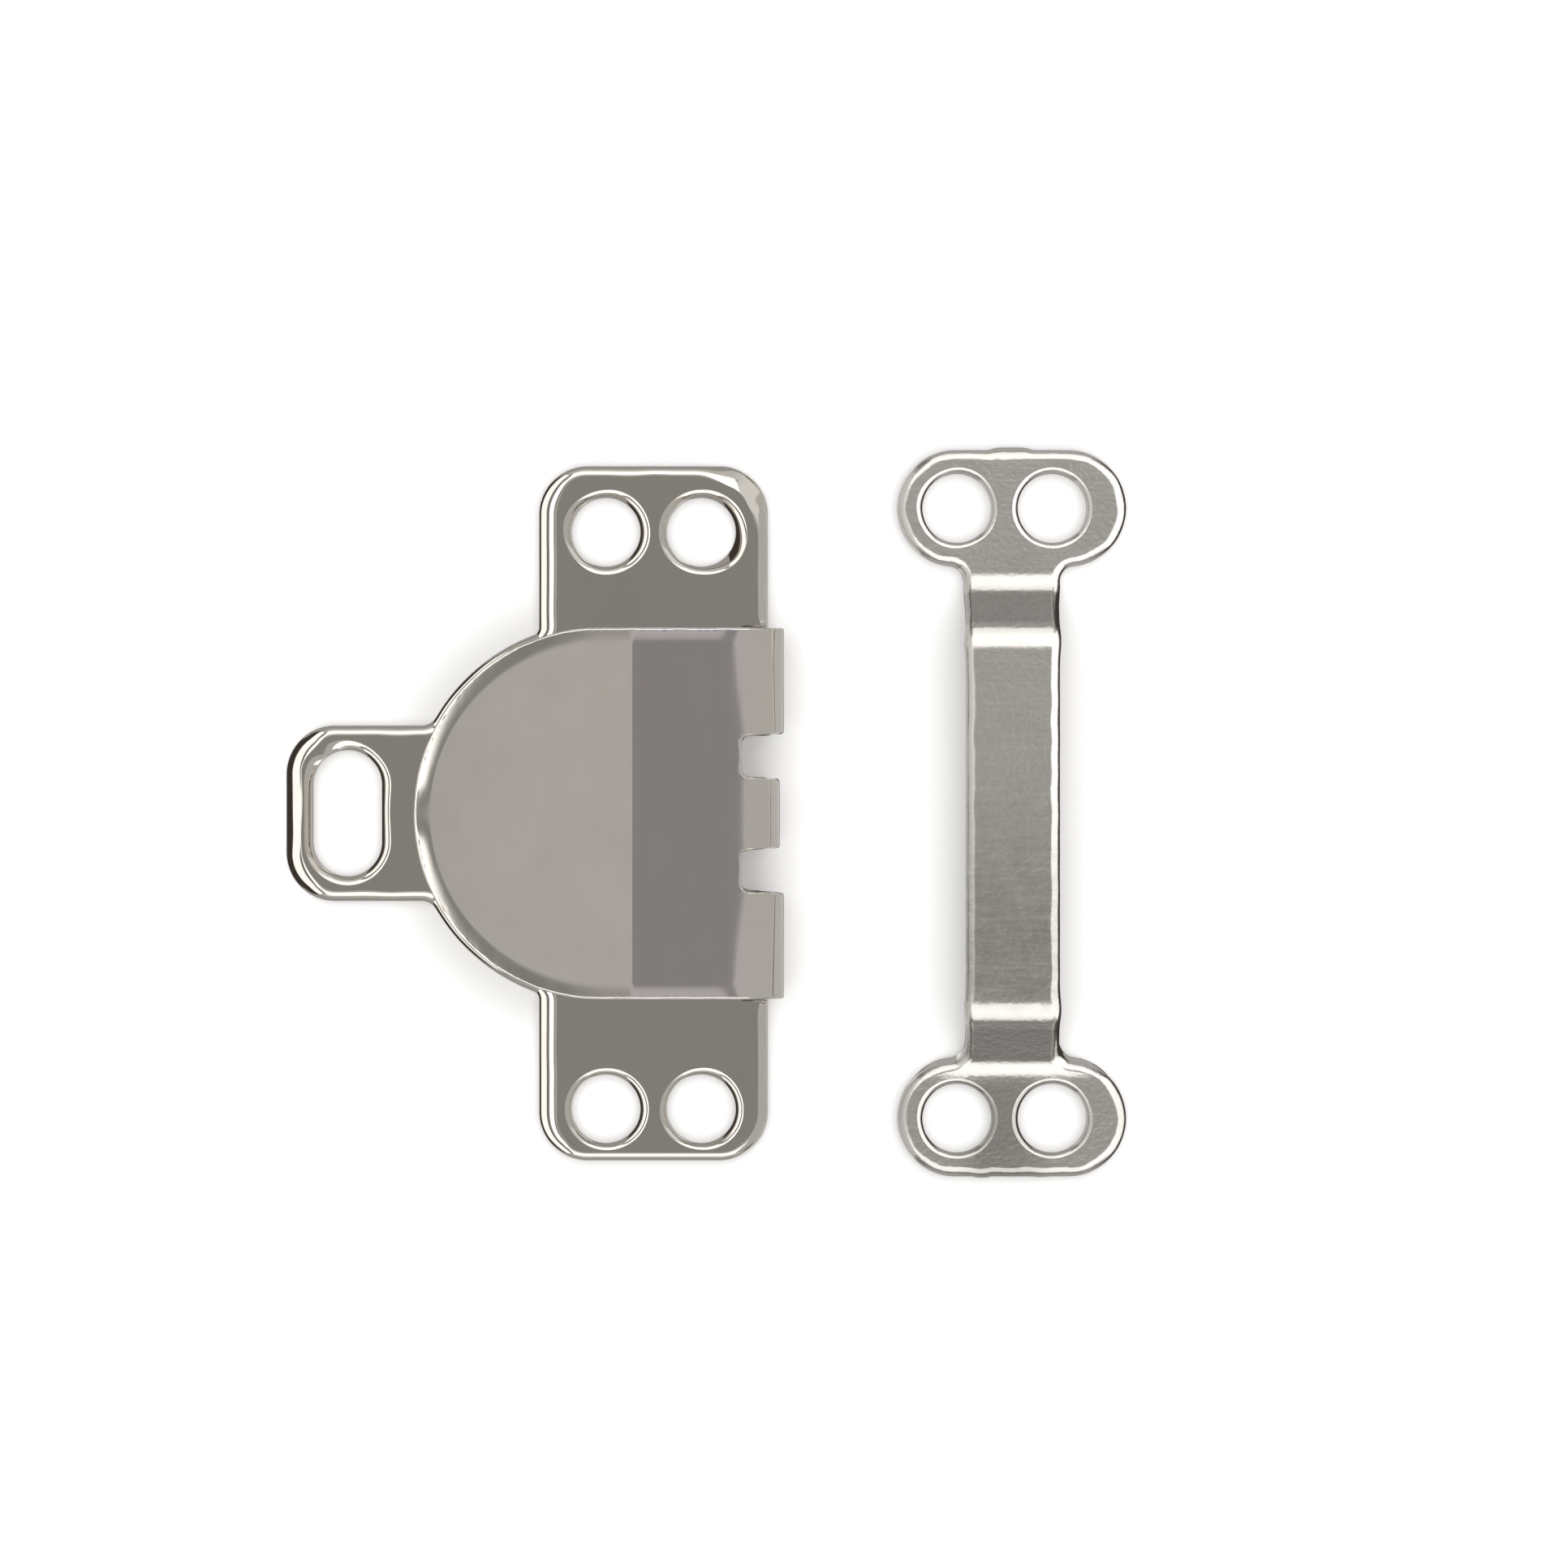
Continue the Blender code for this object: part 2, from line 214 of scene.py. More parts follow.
def slot_loop(centre, long, wide, spacing):
    """A slot along Y with round ends, run clockwise: two half circles joined by straight sides."""
    radius, reach = wide / 2, (long - wide) / 2
    points = np.vstack((
        arc((0.0, reach), radius, math.pi, 0.0, spacing),
        line((radius, reach), (radius, -reach), spacing),
        arc((0.0, -reach), radius, 0.0, -math.pi, spacing),
        line((-radius, -reach), (-radius, reach), spacing),
    ))
    return points + np.array(centre)


def window_loop(centre, size_x, size_y, corner, spacing):
    """A rectangle with round corners, run clockwise: four quarter circles and four sides."""
    x, y = size_x / 2, size_y / 2
    stretches = []
    for number, (side_x, side_y) in enumerate(((-1, 1), (1, 1), (1, -1), (-1, -1))):
        middle = np.array((side_x * (x - corner), side_y * (y - corner)))
        turn = math.pi - number * QUARTER
        end = middle + corner * np.array((math.cos(turn - QUARTER), math.sin(turn - QUARTER)))
        ahead = 2 * (y - corner) if number % 2 else 2 * (x - corner)
        way = np.array((math.sin(turn - QUARTER), -math.cos(turn - QUARTER)))
        stretches.append(arc(middle, corner, turn, turn - QUARTER, spacing * 0.5))
        stretches.append(line(end, end + way * ahead, spacing))
    return np.vstack(stretches) + np.array(centre)


def side_vectors(points):
    """Unit vectors to the left of a closed path, from each point's two neighbours."""
    ahead = np.roll(points, -1, axis=0) - points
    behind = points - np.roll(points, 1, axis=0)
    ahead /= np.linalg.norm(ahead, axis=1)[:, None]
    behind /= np.linalg.norm(behind, axis=1)[:, None]
    along = ahead + behind
    along /= np.linalg.norm(along, axis=1)[:, None]
    return np.column_stack((-along[:, 1], along[:, 0]))


def path_length(points):
    """Distance run along a closed path up to each of its points."""
    steps = np.linalg.norm(np.diff(points, axis=0, append=points[:1]), axis=1)
    return np.concatenate(([0.0], np.cumsum(steps)[:-1])), float(steps.sum())


def wander(run, total, wave, seed):
    """A smooth closed random curve within about -1 to 1: five sine waves of whole turns."""
    random = np.random.default_rng(seed)
    turns = np.maximum(1, np.round(total / wave * random.uniform(0.5, 1.9, 5)))
    shift = random.uniform(0, FULL, 5)
    return np.sin(run[:, None] / total * FULL * turns + shift).sum(axis=1) / 3.2


def bump_at(points, centre, reach):
    """A round hump of height 1: the bell curve of the distance to its middle."""
    away = np.linalg.norm(points - np.array(centre), axis=1)
    return np.exp(-((away / reach) ** 2))


def smooth(low, high, value):
    """0 below low, 1 above high, and the cubic ease between them."""
    share = np.clip((value - low) / (high - low), 0.0, 1.0)
    return share * share * (3 - 2 * share)


# --- meshes -------------------------------------------------------------------------------


def inside(points, loops):
    """Even-odd test: how often a ray to the right of each point crosses the loops."""
    starts = np.vstack(loops)
    ends = np.vstack([np.roll(loop, -1, axis=0) for loop in loops])
    found = np.zeros(len(points), bool)
    for block in np.array_split(np.arange(len(points)), max(1, len(points) // 1500)):
        x, y = points[block, 0][:, None], points[block, 1][:, None]
        spans = (starts[:, 1] > y) != (ends[:, 1] > y)
        rise = ends[:, 1] - starts[:, 1]
        safe = np.where(rise == 0, 1.0, rise)
        cross = starts[:, 0] + (y - starts[:, 1]) / safe * (ends[:, 0] - starts[:, 0])
        found[block] = (spans & (x < cross)).sum(axis=1) % 2 == 1
    return found


def clear_of(points, loops, gap):
    """True for each point that keeps the gap to every point of the loops."""
    rim = np.vstack(loops)
    near = np.zeros(len(points), bool)
    for block in np.array_split(np.arange(len(points)), max(1, len(points) // 1500)):
        away = np.abs(points[block, None, :] - rim[None, :, :]).max(axis=2)
        near[block] = away.min(axis=1) < gap
    return ~near


def flat_between(loops, grid, gap):
    """The flat inside the loops: their points and the grid's, joined by Delaunay triangles.

    Gives the kept grid points, and triangles numbered with the loops' points first.
    """
    grid = grid[inside(grid, loops)]
    grid = grid[clear_of(grid, loops, gap)]
    points = np.vstack((*loops, grid))
    edges = []
    first = 0
    for loop in loops:
        here = np.arange(len(loop)) + first
        edges.append(np.column_stack((here, np.roll(here, -1))))
        first += len(loop)
    found = delaunay_2d_cdt((points / MM).tolist(), np.vstack(edges).tolist(), [], 0, 1e-7)
    crossings = [place for place, origin in zip(found[0], found[3]) if not origin]
    if crossings:
        places = [tuple(round(number, 2) for number in place) for place in crossings[:6]]
        raise ValueError(f"rims cross at {places} mm")
    source = np.array([origin[0] for origin in found[3]])
    triangles = source[np.array(found[2])]
    middles = points[triangles].mean(axis=1)
    return grid, triangles[inside(middles, loops)]


class Rim:
    """One closed rim of the blank: a path, and a profile of offset and height carried along it."""

    def __init__(self, path, roll, thickness, steep=1.0, facet=0.0, margin=MARGIN, lip=0.0,
                 burr=0.0, round_off=0.03 * MM):
        """Every value may be one number or one for each path point.

        The upper profile is a quarter ellipse as wide as roll and roll times steep deep, and
        facet turns it into a straighter slope. The lower one rises by lip over the margin, has a
        ridge as high as burr near the cut, and rises to the cut over the width round_off.
        A narrow level collar beyond each profile keeps the flats flat up to it.
        """
        left = side_vectors(path)
        roll, steep, facet, margin, lip, burr, round_off = (
            np.broadcast_to(value, len(path)) for value in
            (roll, steep, facet, margin, lip, burr, round_off)
        )
        part, step = UPPER_STEPS[:, None], LOWER_STEPS[:, None]
        turn = part * QUARTER
        depth = np.minimum(roll * steep, DEEPEST * thickness)
        share = (1 - facet) * (1 - np.sin(turn)) + facet * (1 - part)
        sink = (1 - facet) * (1 - np.cos(turn)) + facet * (part + part**2.2) / 2
        inward = step * margin
        brink = BRINK * np.exp(-inward / round_off) * (1 - step)
        ridge = burr * np.exp(-(((inward - RIDGE_PLACE) / RIDGE_WIDTH) ** 2))
        lower = brink + lip * (1 - step) ** 1.2 - ridge
        collar = roll + COLLAR
        self.offset = np.vstack((collar, roll * share, inward, margin + COLLAR))
        self.height = np.vstack((0 * roll + thickness, thickness - depth * sink, lower, 0 * roll))
        self.share = np.vstack((1 + 0 * roll, share, step + 0 * roll, 1 + 0 * roll))
        self.path = path
        self.points = path[None] + left[None] * self.offset[..., None]

    def faces(self, first):
        """Four-sided faces between neighbouring rows of the profile."""
        rows, columns = self.height.shape
        index = first + np.arange(rows * columns).reshape(rows, columns)
        ahead = np.roll(index, -1, axis=1)
        return np.stack((index[:-1], index[1:], ahead[1:], ahead[:-1]), axis=-1).reshape(-1, 4)


def pressing(name, rims, grid, gap, thickness, bend):
    """A closed sheet: rims, the flat above them and the flat below, all put through bend.

    bend maps arrays of blank position u, v and height w to x, y and z.
    """
    blank = [np.dstack((rim.points, rim.height)).reshape(-1, 3) for rim in rims]
    edge = [1 - rim.share.reshape(-1) for rim in rims]
    firsts = np.concatenate(([0], np.cumsum([len(points) for points in blank])))
    quads = np.vstack([rim.faces(first) for rim, first in zip(rims, firsts)])
    total = int(firsts[-1])
    triangles = []
    for row, height, flip in ((0, thickness, False), (-1, 0.0, True)):
        loops = [rim.points[row] for rim in rims]
        kept, made = flat_between(loops, grid, gap)
        rows = [first + (rim.height.size - rim.height.shape[1] if row else 0)
                + np.arange(rim.height.shape[1]) for rim, first in zip(rims, firsts)]
        number = np.concatenate((*rows, total + np.arange(len(kept))))
        made = number[made]
        triangles.append(made[:, ::-1] if flip else made)
        blank.append(np.column_stack((kept, np.full(len(kept), height))))
        edge.append(np.zeros(len(kept)))
        total += len(kept)
    blank, edge = np.vstack(blank), np.concatenate(edge)
    return sheet_mesh(name, blank, edge, quads, np.vstack(triangles), bend)


def sheet_mesh(name, blank, edge, quads, triangles, bend):
    """Puts the bent points and their faces into a mesh, and keeps the blank's own coordinates."""
    mesh = bpy.data.meshes.new(name)
    places = np.column_stack(bend(blank[:, 0], blank[:, 1], blank[:, 2]))
    corners = np.concatenate((quads.ravel(), triangles.ravel())).astype(np.int32)
    sizes = np.concatenate((np.full(len(quads), 4), np.full(len(triangles), 3)))
    starts = np.concatenate(([0], np.cumsum(sizes)[:-1])).astype(np.int32)
    mesh.vertices.add(len(places))
    mesh.vertices.foreach_set("co", places.astype(np.float32).ravel())
    mesh.loops.add(len(corners))
    mesh.loops.foreach_set("vertex_index", corners)
    mesh.polygons.add(len(sizes))
    mesh.polygons.foreach_set("loop_start", starts)
    mesh.update(calc_edges=True)
    mesh.validate()
    mesh.shade_smooth()
    for key, kind, values in (("blank", "FLOAT_VECTOR", blank), ("edge", "FLOAT", edge)):
        layer = mesh.attributes.new(key, kind, "POINT")
        field = "vector" if kind == "FLOAT_VECTOR" else "value"
        layer.data.foreach_set(field, values.astype(np.float32).ravel())
    obj = bpy.data.objects.new(name, mesh)
    bpy.context.scene.collection.objects.link(obj)
    return obj


def rows_and_columns(across, along):
    """Every crossing of the given u places with the given v places."""
    u, v = np.meshgrid(across, along, indexing="ij")
    return np.column_stack((u.ravel(), v.ravel()))


def ripple(u, v, height, wave, seed):
    """A faint unevenness of rolled sheet: a sum of eight plane sine waves in random directions."""
    random = np.random.default_rng(seed)
    heading = random.uniform(0, FULL, 8)
    number = FULL / (wave * random.uniform(0.7, 1.8, 8))
    shift = random.uniform(0, FULL, 8)
    phase = np.multiply.outer(u, np.cos(heading) * number)
    phase += np.multiply.outer(v, np.sin(heading) * number) + shift
    return height * np.sin(phase).sum(axis=-1) / 4


# --- the hook -----------------------------------------------------------------------------


class HookPlan:
    """Places on the hook that follow from its sizes and from the frame's box."""

    def __init__(self, sheet, hook):
        low, high = HOOK_BOX
        self.sheet, self.hook = sheet, hook
        self.tongue_radius = hook_tongue_radius(hook)
        self.lobe_radius = self.tongue_radius + hook.lobe_margin
        self.half_height = self.lobe_radius + hook.ear_length
        self.tab_end = low[0]
        self.lobe_x = low[0] + hook.tab_length + self.lobe_radius
        self.fold_x = self.lobe_x + hook.tongue_reach
        self.strip_right = self.fold_x + hook.fold_inset
        self.strip_left = self.strip_right - hook.strip_width
        self.mouth = high[2] - 2 * sheet.thickness
        self.fold_middle = (self.mouth + sheet.thickness) / 2
        self.fold_length = math.pi * self.fold_middle
        self.crease = self.fold_x + self.fold_length + hook.seat_length
        self.tip_centre = self.fold_x + self.fold_length + hook.tongue_reach
        self.tip_length = hook.tongue_reach + self.tongue_radius - hook.seat_length


def hook_tongue_radius(hook):
    """The strip's height in the frame less its two ears and the lobe's margins."""
    low, high = HOOK_BOX
    return (high[1] - low[1]) / 2 - hook.ear_length - hook.lobe_margin


def hook_upper_half(plan):
    """Upper half of the outline, from the tongue's tip round to the end of the sewing tab."""
    hook, step = plan.hook, plan.sheet.spacing
    radius, edge = plan.tongue_radius, 0.06 * MM
    slit = radius + hook.relief
    top = plan.half_height - hook.corner
    ear_x = plan.strip_left - hook.lobe_fillet
    ear_y = math.sqrt((plan.lobe_radius + hook.lobe_fillet) ** 2 - (ear_x - plan.lobe_x) ** 2)
    tab_y = hook.tab_width / 2 + hook.tab_fillet
    tab_x = plan.lobe_x - math.sqrt((plan.lobe_radius + hook.tab_fillet) ** 2 - tab_y**2)
    ear_turn = math.atan2(ear_y, ear_x - plan.lobe_x)
    tab_turn = math.atan2(tab_y, tab_x - plan.lobe_x)
    right, left = plan.strip_right, plan.strip_left
    end_y = hook.tab_width / 2 - hook.corner
    return np.vstack((
        arc((plan.tip_centre, 0), radius, 0.0, QUARTER, step),
        line((plan.tip_centre, radius), (plan.fold_x + edge, radius), step * 0.8),
        arc((plan.fold_x + hook.relief / 2, radius + hook.relief / 2), hook.relief / 2,
            -QUARTER, -3 * QUARTER, step * 0.4),
        line((plan.fold_x + hook.relief / 2, slit), (right - edge, slit), step),
        arc((right - edge, slit + edge), edge, -QUARTER, 0.0, step * 0.4),
        line((right, slit + edge), (right, top), step),
        arc((right - hook.corner, top), hook.corner, 0.0, QUARTER, step),
        line((right - hook.corner, plan.half_height), (left + hook.corner, plan.half_height), step),
        arc((left + hook.corner, top), hook.corner, QUARTER, math.pi, step),
        line((left, top), (left, ear_y), step),
        arc((ear_x, ear_y), hook.lobe_fillet, 0.0, ear_turn - math.pi, step * 0.6),
        arc((plan.lobe_x, 0), plan.lobe_radius, ear_turn, tab_turn, step),
        arc((tab_x, tab_y), hook.tab_fillet, tab_turn - math.pi, -QUARTER, step * 0.8),
        line((tab_x, hook.tab_width / 2), (plan.tab_end + hook.corner, hook.tab_width / 2), step),
        arc((plan.tab_end + hook.corner, end_y), hook.corner, QUARTER, math.pi, step),
        line((plan.tab_end, end_y), (plan.tab_end, 0), step),
        [(plan.tab_end, 0)],
    ))


def hook_outline(plan):
    upper = hook_upper_half(plan)
    return np.vstack((upper, mirrored(upper, 1, -1)[1:-1]))


def outer_roll(plan, path, left, end, dressed):
    """Width of the outline's rounding: wide on the left, narrow on the right and the lower side."""
    hook = plan.hook
    run, total = path_length(path)
    right = np.clip(-side_vectors(path)[:, 0], 0, 1) ** 2
    low = smooth(plan.half_height - 0.3 * MM, plan.half_height, -path[:, 1])
    tab_roll = hook.tab_roll * (0.97 + 0.05 * wander(run, total, 2.6 * MM, 16))
    roll = hook.end_roll + (hook.left_roll - hook.end_roll) * left
    roll = roll + (hook.right_roll - hook.end_roll) * right
    roll = roll * (1 + 0.05 * wander(run, total, 1.6 * MM, 11))
    roll = roll + (tab_roll - roll) * end
    roll = roll + (hook.corner_roll - roll) * dressed
    return roll - (roll - hook.low_roll) * low


def outer_rim(plan, path):
    """The outline's rim, which differs along it by where it lies on the hook.

    The upper right corner is dressed with a broad slope, the tab's end is domed like wire, the
    slits beside the fold are sharp, and the tongue has a lowered margin with an uneven burr.
    """
    hook = plan.hook
    x, y = path[:, 0], path[:, 1]
    run, total = path_length(path)
    left = np.clip(side_vectors(path)[:, 0], 0, 1) ** 2
    end = smooth(plan.tab_end + 1.3 * MM, plan.tab_end + 0.3 * MM, x)
    corner = np.array((plan.strip_right - 0.25 * MM, plan.half_height - 0.2 * MM))
    dressed = smooth(1.75 * MM, 0.75 * MM, np.linalg.norm(path - corner, axis=1))
    roll = outer_roll(plan, path, left, end, dressed)
    steep = 1 - 0.40 * left * (1 - end) + 0.30 * end - 0.35 * dressed
    waves = 0.85 + 0.25 * wander(run, total, 1.9 * MM, 13)
    belly = bump_at(path, (plan.tab_end, 0.1 * MM), 1.4 * MM)
    facet = np.clip(end * (0.45 + 0.55 * belly * waves), 0, 1)
    facet = np.maximum(facet, 0.95 * dressed)
    slit = plan.tongue_radius + hook.relief / 2
    slit_start = plan.fold_x - hook.relief_start
    by_slit = np.abs(np.abs(y) - slit) < hook.relief_start
    in_slit = by_slit & (x > slit_start) & (x < plan.strip_right)
    folded = np.where(np.abs(y) > slit, 0.0, smooth(slit_start, plan.fold_x + 0.2 * MM, x))
    roll = roll + (hook.tongue_roll - roll) * folded
    roll = np.where(in_slit, hook.relief_rim, roll)
    margin = MARGIN + (hook.tongue_rim - MARGIN) * folded
    margin = np.where(in_slit, hook.relief_rim, margin)
    slow, quick = wander(run, total, 1.2 * MM, 12), wander(run, total, 0.35 * MM, 14)
    half_fold = plan.fold_x + 0.5 * plan.fold_length
    outer = smooth(half_fold, half_fold + 0.2 * plan.fold_length, x)
    turned = np.abs(np.arctan2(y, x - plan.tip_centre))
    seat_start = plan.crease - hook.seat_length
    level = folded * smooth(seat_start, seat_start + 0.2 * hook.seat_length, x)
    pinch = 1 - 0.75 * np.exp(-((turned / 0.10) ** 2))
    rough = np.clip(0.1 + 0.6 * slow + 0.7 * quick, 0, 1.4)
    return Rim(
        path, relaxed(roll), plan.sheet.thickness, steep=relaxed(steep), facet=relaxed(facet),
        margin=relaxed(margin), lip=relaxed(level * hook.tongue_lip * pinch),
        burr=folded * outer * hook.burr * rough,
        round_off=(0.016 + 0.007 * slow + 0.005 * quick) * MM,
    )


def relaxed(widths):
    """Widths along a closed path, averaged over their neighbours so that they change smoothly."""
    for _ in range(6):
        widths = (np.roll(widths, 1) + 2 * widths + np.roll(widths, -1)) / 4
    return widths


def hole_rim(sheet, path, roll, seed, widen=0.0):
    """The rim of a sewing hole: its roll a little uneven, and wider where it faces -X."""
    run, total = path_length(path)
    facing = np.clip(side_vectors(path)[:, 0], 0, 1)
    roll = roll * (1 + 0.10 * wander(run, total, 2.5 * MM, seed)) + widen * facing
    return Rim(path, roll, sheet.thickness, facet=HOLE_FACET)


def torn_hole_rim(plan, path, centre):
    """The upper right hole: the punch dragged its lower right side down into a steep hollow."""
    hook = plan.hook
    middle = (centre[0] + 0.84 * MM, centre[1] - 0.60 * MM)
    dragged = bump_at(path, middle, 0.62 * MM)
    facing = np.clip(side_vectors(path)[:, 0], 0, 1)
    roll = hook.hole_roll + 0.08 * MM * facing + 0.06 * MM * dragged
    facet = HOLE_FACET + 0.5 * dragged
    return Rim(path, roll, plan.sheet.thickness, steep=1 + 0.45 * dragged, facet=facet)


def tab_slot_rim(plan):
    """The tab's slot: its left side is the inner half of the domed end.

    At the upper left that side widens into a shallow sweep.
    """
    sheet, hook = plan.sheet, plan.hook
    centre = (plan.tab_end + hook.tab_rim + hook.slot_width / 2, 0)
    path = slot_loop(centre, hook.slot_length, hook.slot_width, sheet.spacing)
    side = side_vectors(path)
    run, total = path_length(path)
    roll = hook.hole_roll * 1.15 * (1 + 0.08 * wander(run, total, 2.5 * MM, 31))
    left = np.clip(-side[:, 0], 0, 1) ** 2
    roll = roll + (hook.slot_roll - roll) * left
    sweep = bump_at(path, (centre[0] - 0.62 * MM, 1.60 * MM), 0.62 * MM)
    return Rim(path, relaxed(roll + 0.06 * MM * sweep), sheet.thickness, steep=1 - 0.94 * sweep,
               facet=HOLE_FACET + 0.3 * sweep)


def fold_slot_rim(plan, y, seed):
    """A slot through the fold, wider at the outer bend, with a raised burr on its outer face."""
    sheet, hook = plan.sheet, plan.hook
    middle = (plan.fold_x + plan.fold_length / 2, y)
    path = window_loop(
        middle, plan.fold_length, hook.fold_slot, hook.fold_slot_corner, sheet.spacing * 0.8
    )
    part = np.clip((path[:, 0] - plan.fold_x) / plan.fold_length, 0, 1)
    path[:, 1] = y + (path[:, 1] - y) * (1 + 0.12 * np.sin(part * math.pi) ** 2)
    run, total = path_length(path)
    shift = 0.010 * MM * wander(run, total, 0.9 * MM, seed + 4)
    path = path + side_vectors(path) * shift[:, None]
    rough = np.clip(1.0 + 0.6 * wander(run, total, 0.4 * MM, seed), 0.1, 2)
    burr = 1.2 * hook.burr * rough * smooth(0.7, 0.9, part)
    return Rim(path, 0.08 * MM, sheet.thickness, burr=burr, margin=0.11 * MM)


def hook_rims(plan):
    sheet, hook = plan.sheet, plan.hook
    step = sheet.spacing
    strip_x = (plan.strip_left + plan.strip_right) / 2
    top, bottom = plan.half_height - hook.hole_to_top, hook.hole_to_bottom - plan.half_height
    rims = [outer_rim(plan, hook_outline(plan))]
    for number, (side, y) in enumerate(((-1, top), (1, top), (-1, bottom), (1, bottom))):
        centre = (strip_x + side * sheet.hole_pitch / 2, y)
        path = hole_loop(centre, sheet.hole / 2, step)
        torn = (side, y) == (1, top)
        if torn:
            rims.append(torn_hole_rim(plan, path, centre))
        else:
            roll = hook.hole_roll if y > 0 else hook.low_hole_roll
            rims.append(hole_rim(sheet, path, roll, 21 + number, 0.06 * MM))
    rims.append(tab_slot_rim(plan))
    for number, y in enumerate((hook.fold_slot_pitch / 2, -hook.fold_slot_pitch / 2)):
        rims.append(fold_slot_rim(plan, y, 41 + number))
    return rims


def hook_grid(plan):
    """Grid places: even on the flats, and close together round the bend and beside the crease."""
    flat = plan.sheet.flat_spacing
    base = np.arange(plan.tab_end, plan.fold_x - flat / 2, flat)
    bend = np.linspace(plan.fold_x, plan.fold_x + plan.fold_length, 49)
    seat = np.arange(bend[-1] + flat / 2, plan.crease - flat / 2, flat)
    crease = plan.crease + np.array([-0.05, -0.02, 0.0, 0.02, 0.05]) * MM
    tip = np.arange(crease[-1] + flat / 2, plan.tip_centre + plan.tongue_radius, flat)
    across = np.concatenate((base, bend, seat, crease, tip))
    along = np.arange(-plan.half_height, plan.half_height, flat)
    return rows_and_columns(across, along)


def bend_hook(plan, u, v, w):
    """The fold: past its line a point runs round a circle by its distance over the middle radius.

    The circle's upper quarter is a superellipse that stays level longer towards the middle.
    Half a turn later the point runs back over the base, and past the crease it slopes down evenly.
    Beside the fold the tongue droops by a square curve, which the fold takes up and fades out.
    The ears stay flat, and the strip between the slots bulges a little less.
    """
    hook, thickness = plan.hook, plan.sheet.thickness
    past = u - plan.fold_x
    above = smooth(0.4, 0.6, past / plan.fold_length) * (np.abs(v) < plan.tongue_radius)
    upper = np.maximum(above, w / thickness)
    w = w + ripple(u, v, 0.0012 * MM, 4.0 * MM, 5) * upper
    radius = plan.mouth / 2 + thickness - w
    turn = np.clip(past / plan.fold_middle, 0, math.pi)
    back = np.clip(past - plan.fold_length, 0, None)
    soft = 0.02 * MM
    beyond = back - hook.seat_length
    beyond = (beyond + np.sqrt(beyond**2 + soft**2)) / 2
    tongue_low = hook.tongue_drop / plan.tip_length * beyond
    less = 1 - 0.10 * smooth(1.3 * MM, 1.0 * MM, np.abs(v))
    sine = np.clip(np.sin(turn), 0, 1)
    power = 2 + 0.5 * smooth(5.2 * MM, 2.0 * MM, np.abs(v))
    cosine = np.where(turn > QUARTER, -((1 - sine**power) ** (1 / power)), np.cos(turn))
    out = radius * sine * less
    crown, fade = 0.6 * MM, 0.25 * MM
    sag = (0.018 + 0.012 * smooth(2.0 * MM, 5.2 * MM, np.abs(v))) * MM
    droop = sag * np.clip(1 - back / crown, 0, 1) ** 2
    run_on = 2 * sag / crown * fade * (1 - np.exp(-out / fade))
    droop = (droop + run_on * (back <= 0)) * smooth(QUARTER, 0.75 * math.pi, turn)
    x = plan.fold_x + out - back
    z = plan.mouth / 2 + thickness - radius * cosine - tongue_low - droop
    ear = np.abs(v) > plan.tongue_radius + hook.relief / 2
    flat = (past <= 0) | ear
    return np.where(flat, u, x), v, np.where(flat, w, z)


# --- the bar ------------------------------------------------------------------------------


class BarPlan:
    """Places on the bar that follow from its sizes and from the frame's box."""

    def __init__(self, sheet, bar):
        low, high = BAR_BOX
        self.sheet, self.bar = sheet, bar
        self.middle_x = (low[0] + high[0]) / 2
        self.half_width = (high[0] - low[0]) / 2
        self.rise = high[2] - sheet.thickness
        self.half_length = (high[1] - low[1]) / 2
        turn = bar.riser_turn
        radii = bar.bend_radius + bar.foot_radius
        self.riser = (self.rise - radii * (1 - math.cos(turn))) / math.sin(turn)
        self.run = radii * math.sin(turn) + self.riser * math.cos(turn)
        self.bend, self.foot_bend = bar.bend_radius * turn, bar.foot_radius * turn
        self.flat = (bar.bridge_span - self.run) / 2
        stretch = self.bend + self.riser + self.foot_bend - self.run
        foot = self.half_length - bar.foot_depth / 2 + stretch
        self.upper_foot = foot + bar.bridge_offset
        self.lower_foot = foot - bar.bridge_offset


def bar_quarter(plan, foot_y):
    """Right half of one end: the bridge's side, the neck's fillet and the foot's round end."""
    bar, step = plan.bar, plan.sheet.spacing
    half = bar.foot_depth / 2
    side, end_x = bar.bridge_width / 2, plan.half_width - half
    neck_x = side + bar.neck_fillet
    past_end = max(0.0, neck_x - end_x)
    neck_down = math.sqrt((half + bar.neck_fillet) ** 2 - past_end**2)
    turn = math.atan2(-neck_down, past_end)
    neck_y = foot_y - neck_down
    return np.vstack((
        line((side, 0), (side, neck_y), step),
        arc((neck_x, neck_y), bar.neck_fillet, math.pi, turn + math.pi, step * 0.8),
        arc((end_x, foot_y), half, turn, QUARTER, step),
        line((end_x, foot_y + half), (0, foot_y + half), step),
        [(0, foot_y + half)],
    ))


def bar_outline(plan):
    upper, lower = bar_quarter(plan, plan.upper_foot), bar_quarter(plan, plan.lower_foot)
    top = np.vstack((upper, mirrored(upper, -1, 1)[1:]))
    bottom = np.vstack((lower * (-1, -1), mirrored(lower, 1, -1)[1:]))
    return np.vstack((top, bottom[1:-1])) + (plan.middle_x, 0)


def bell(value, middle, reach, power=2):
    """A smooth hump of height 1 at the middle: e to minus a power of the distance over the reach."""
    return np.exp(-(((value - middle) / reach) ** power))


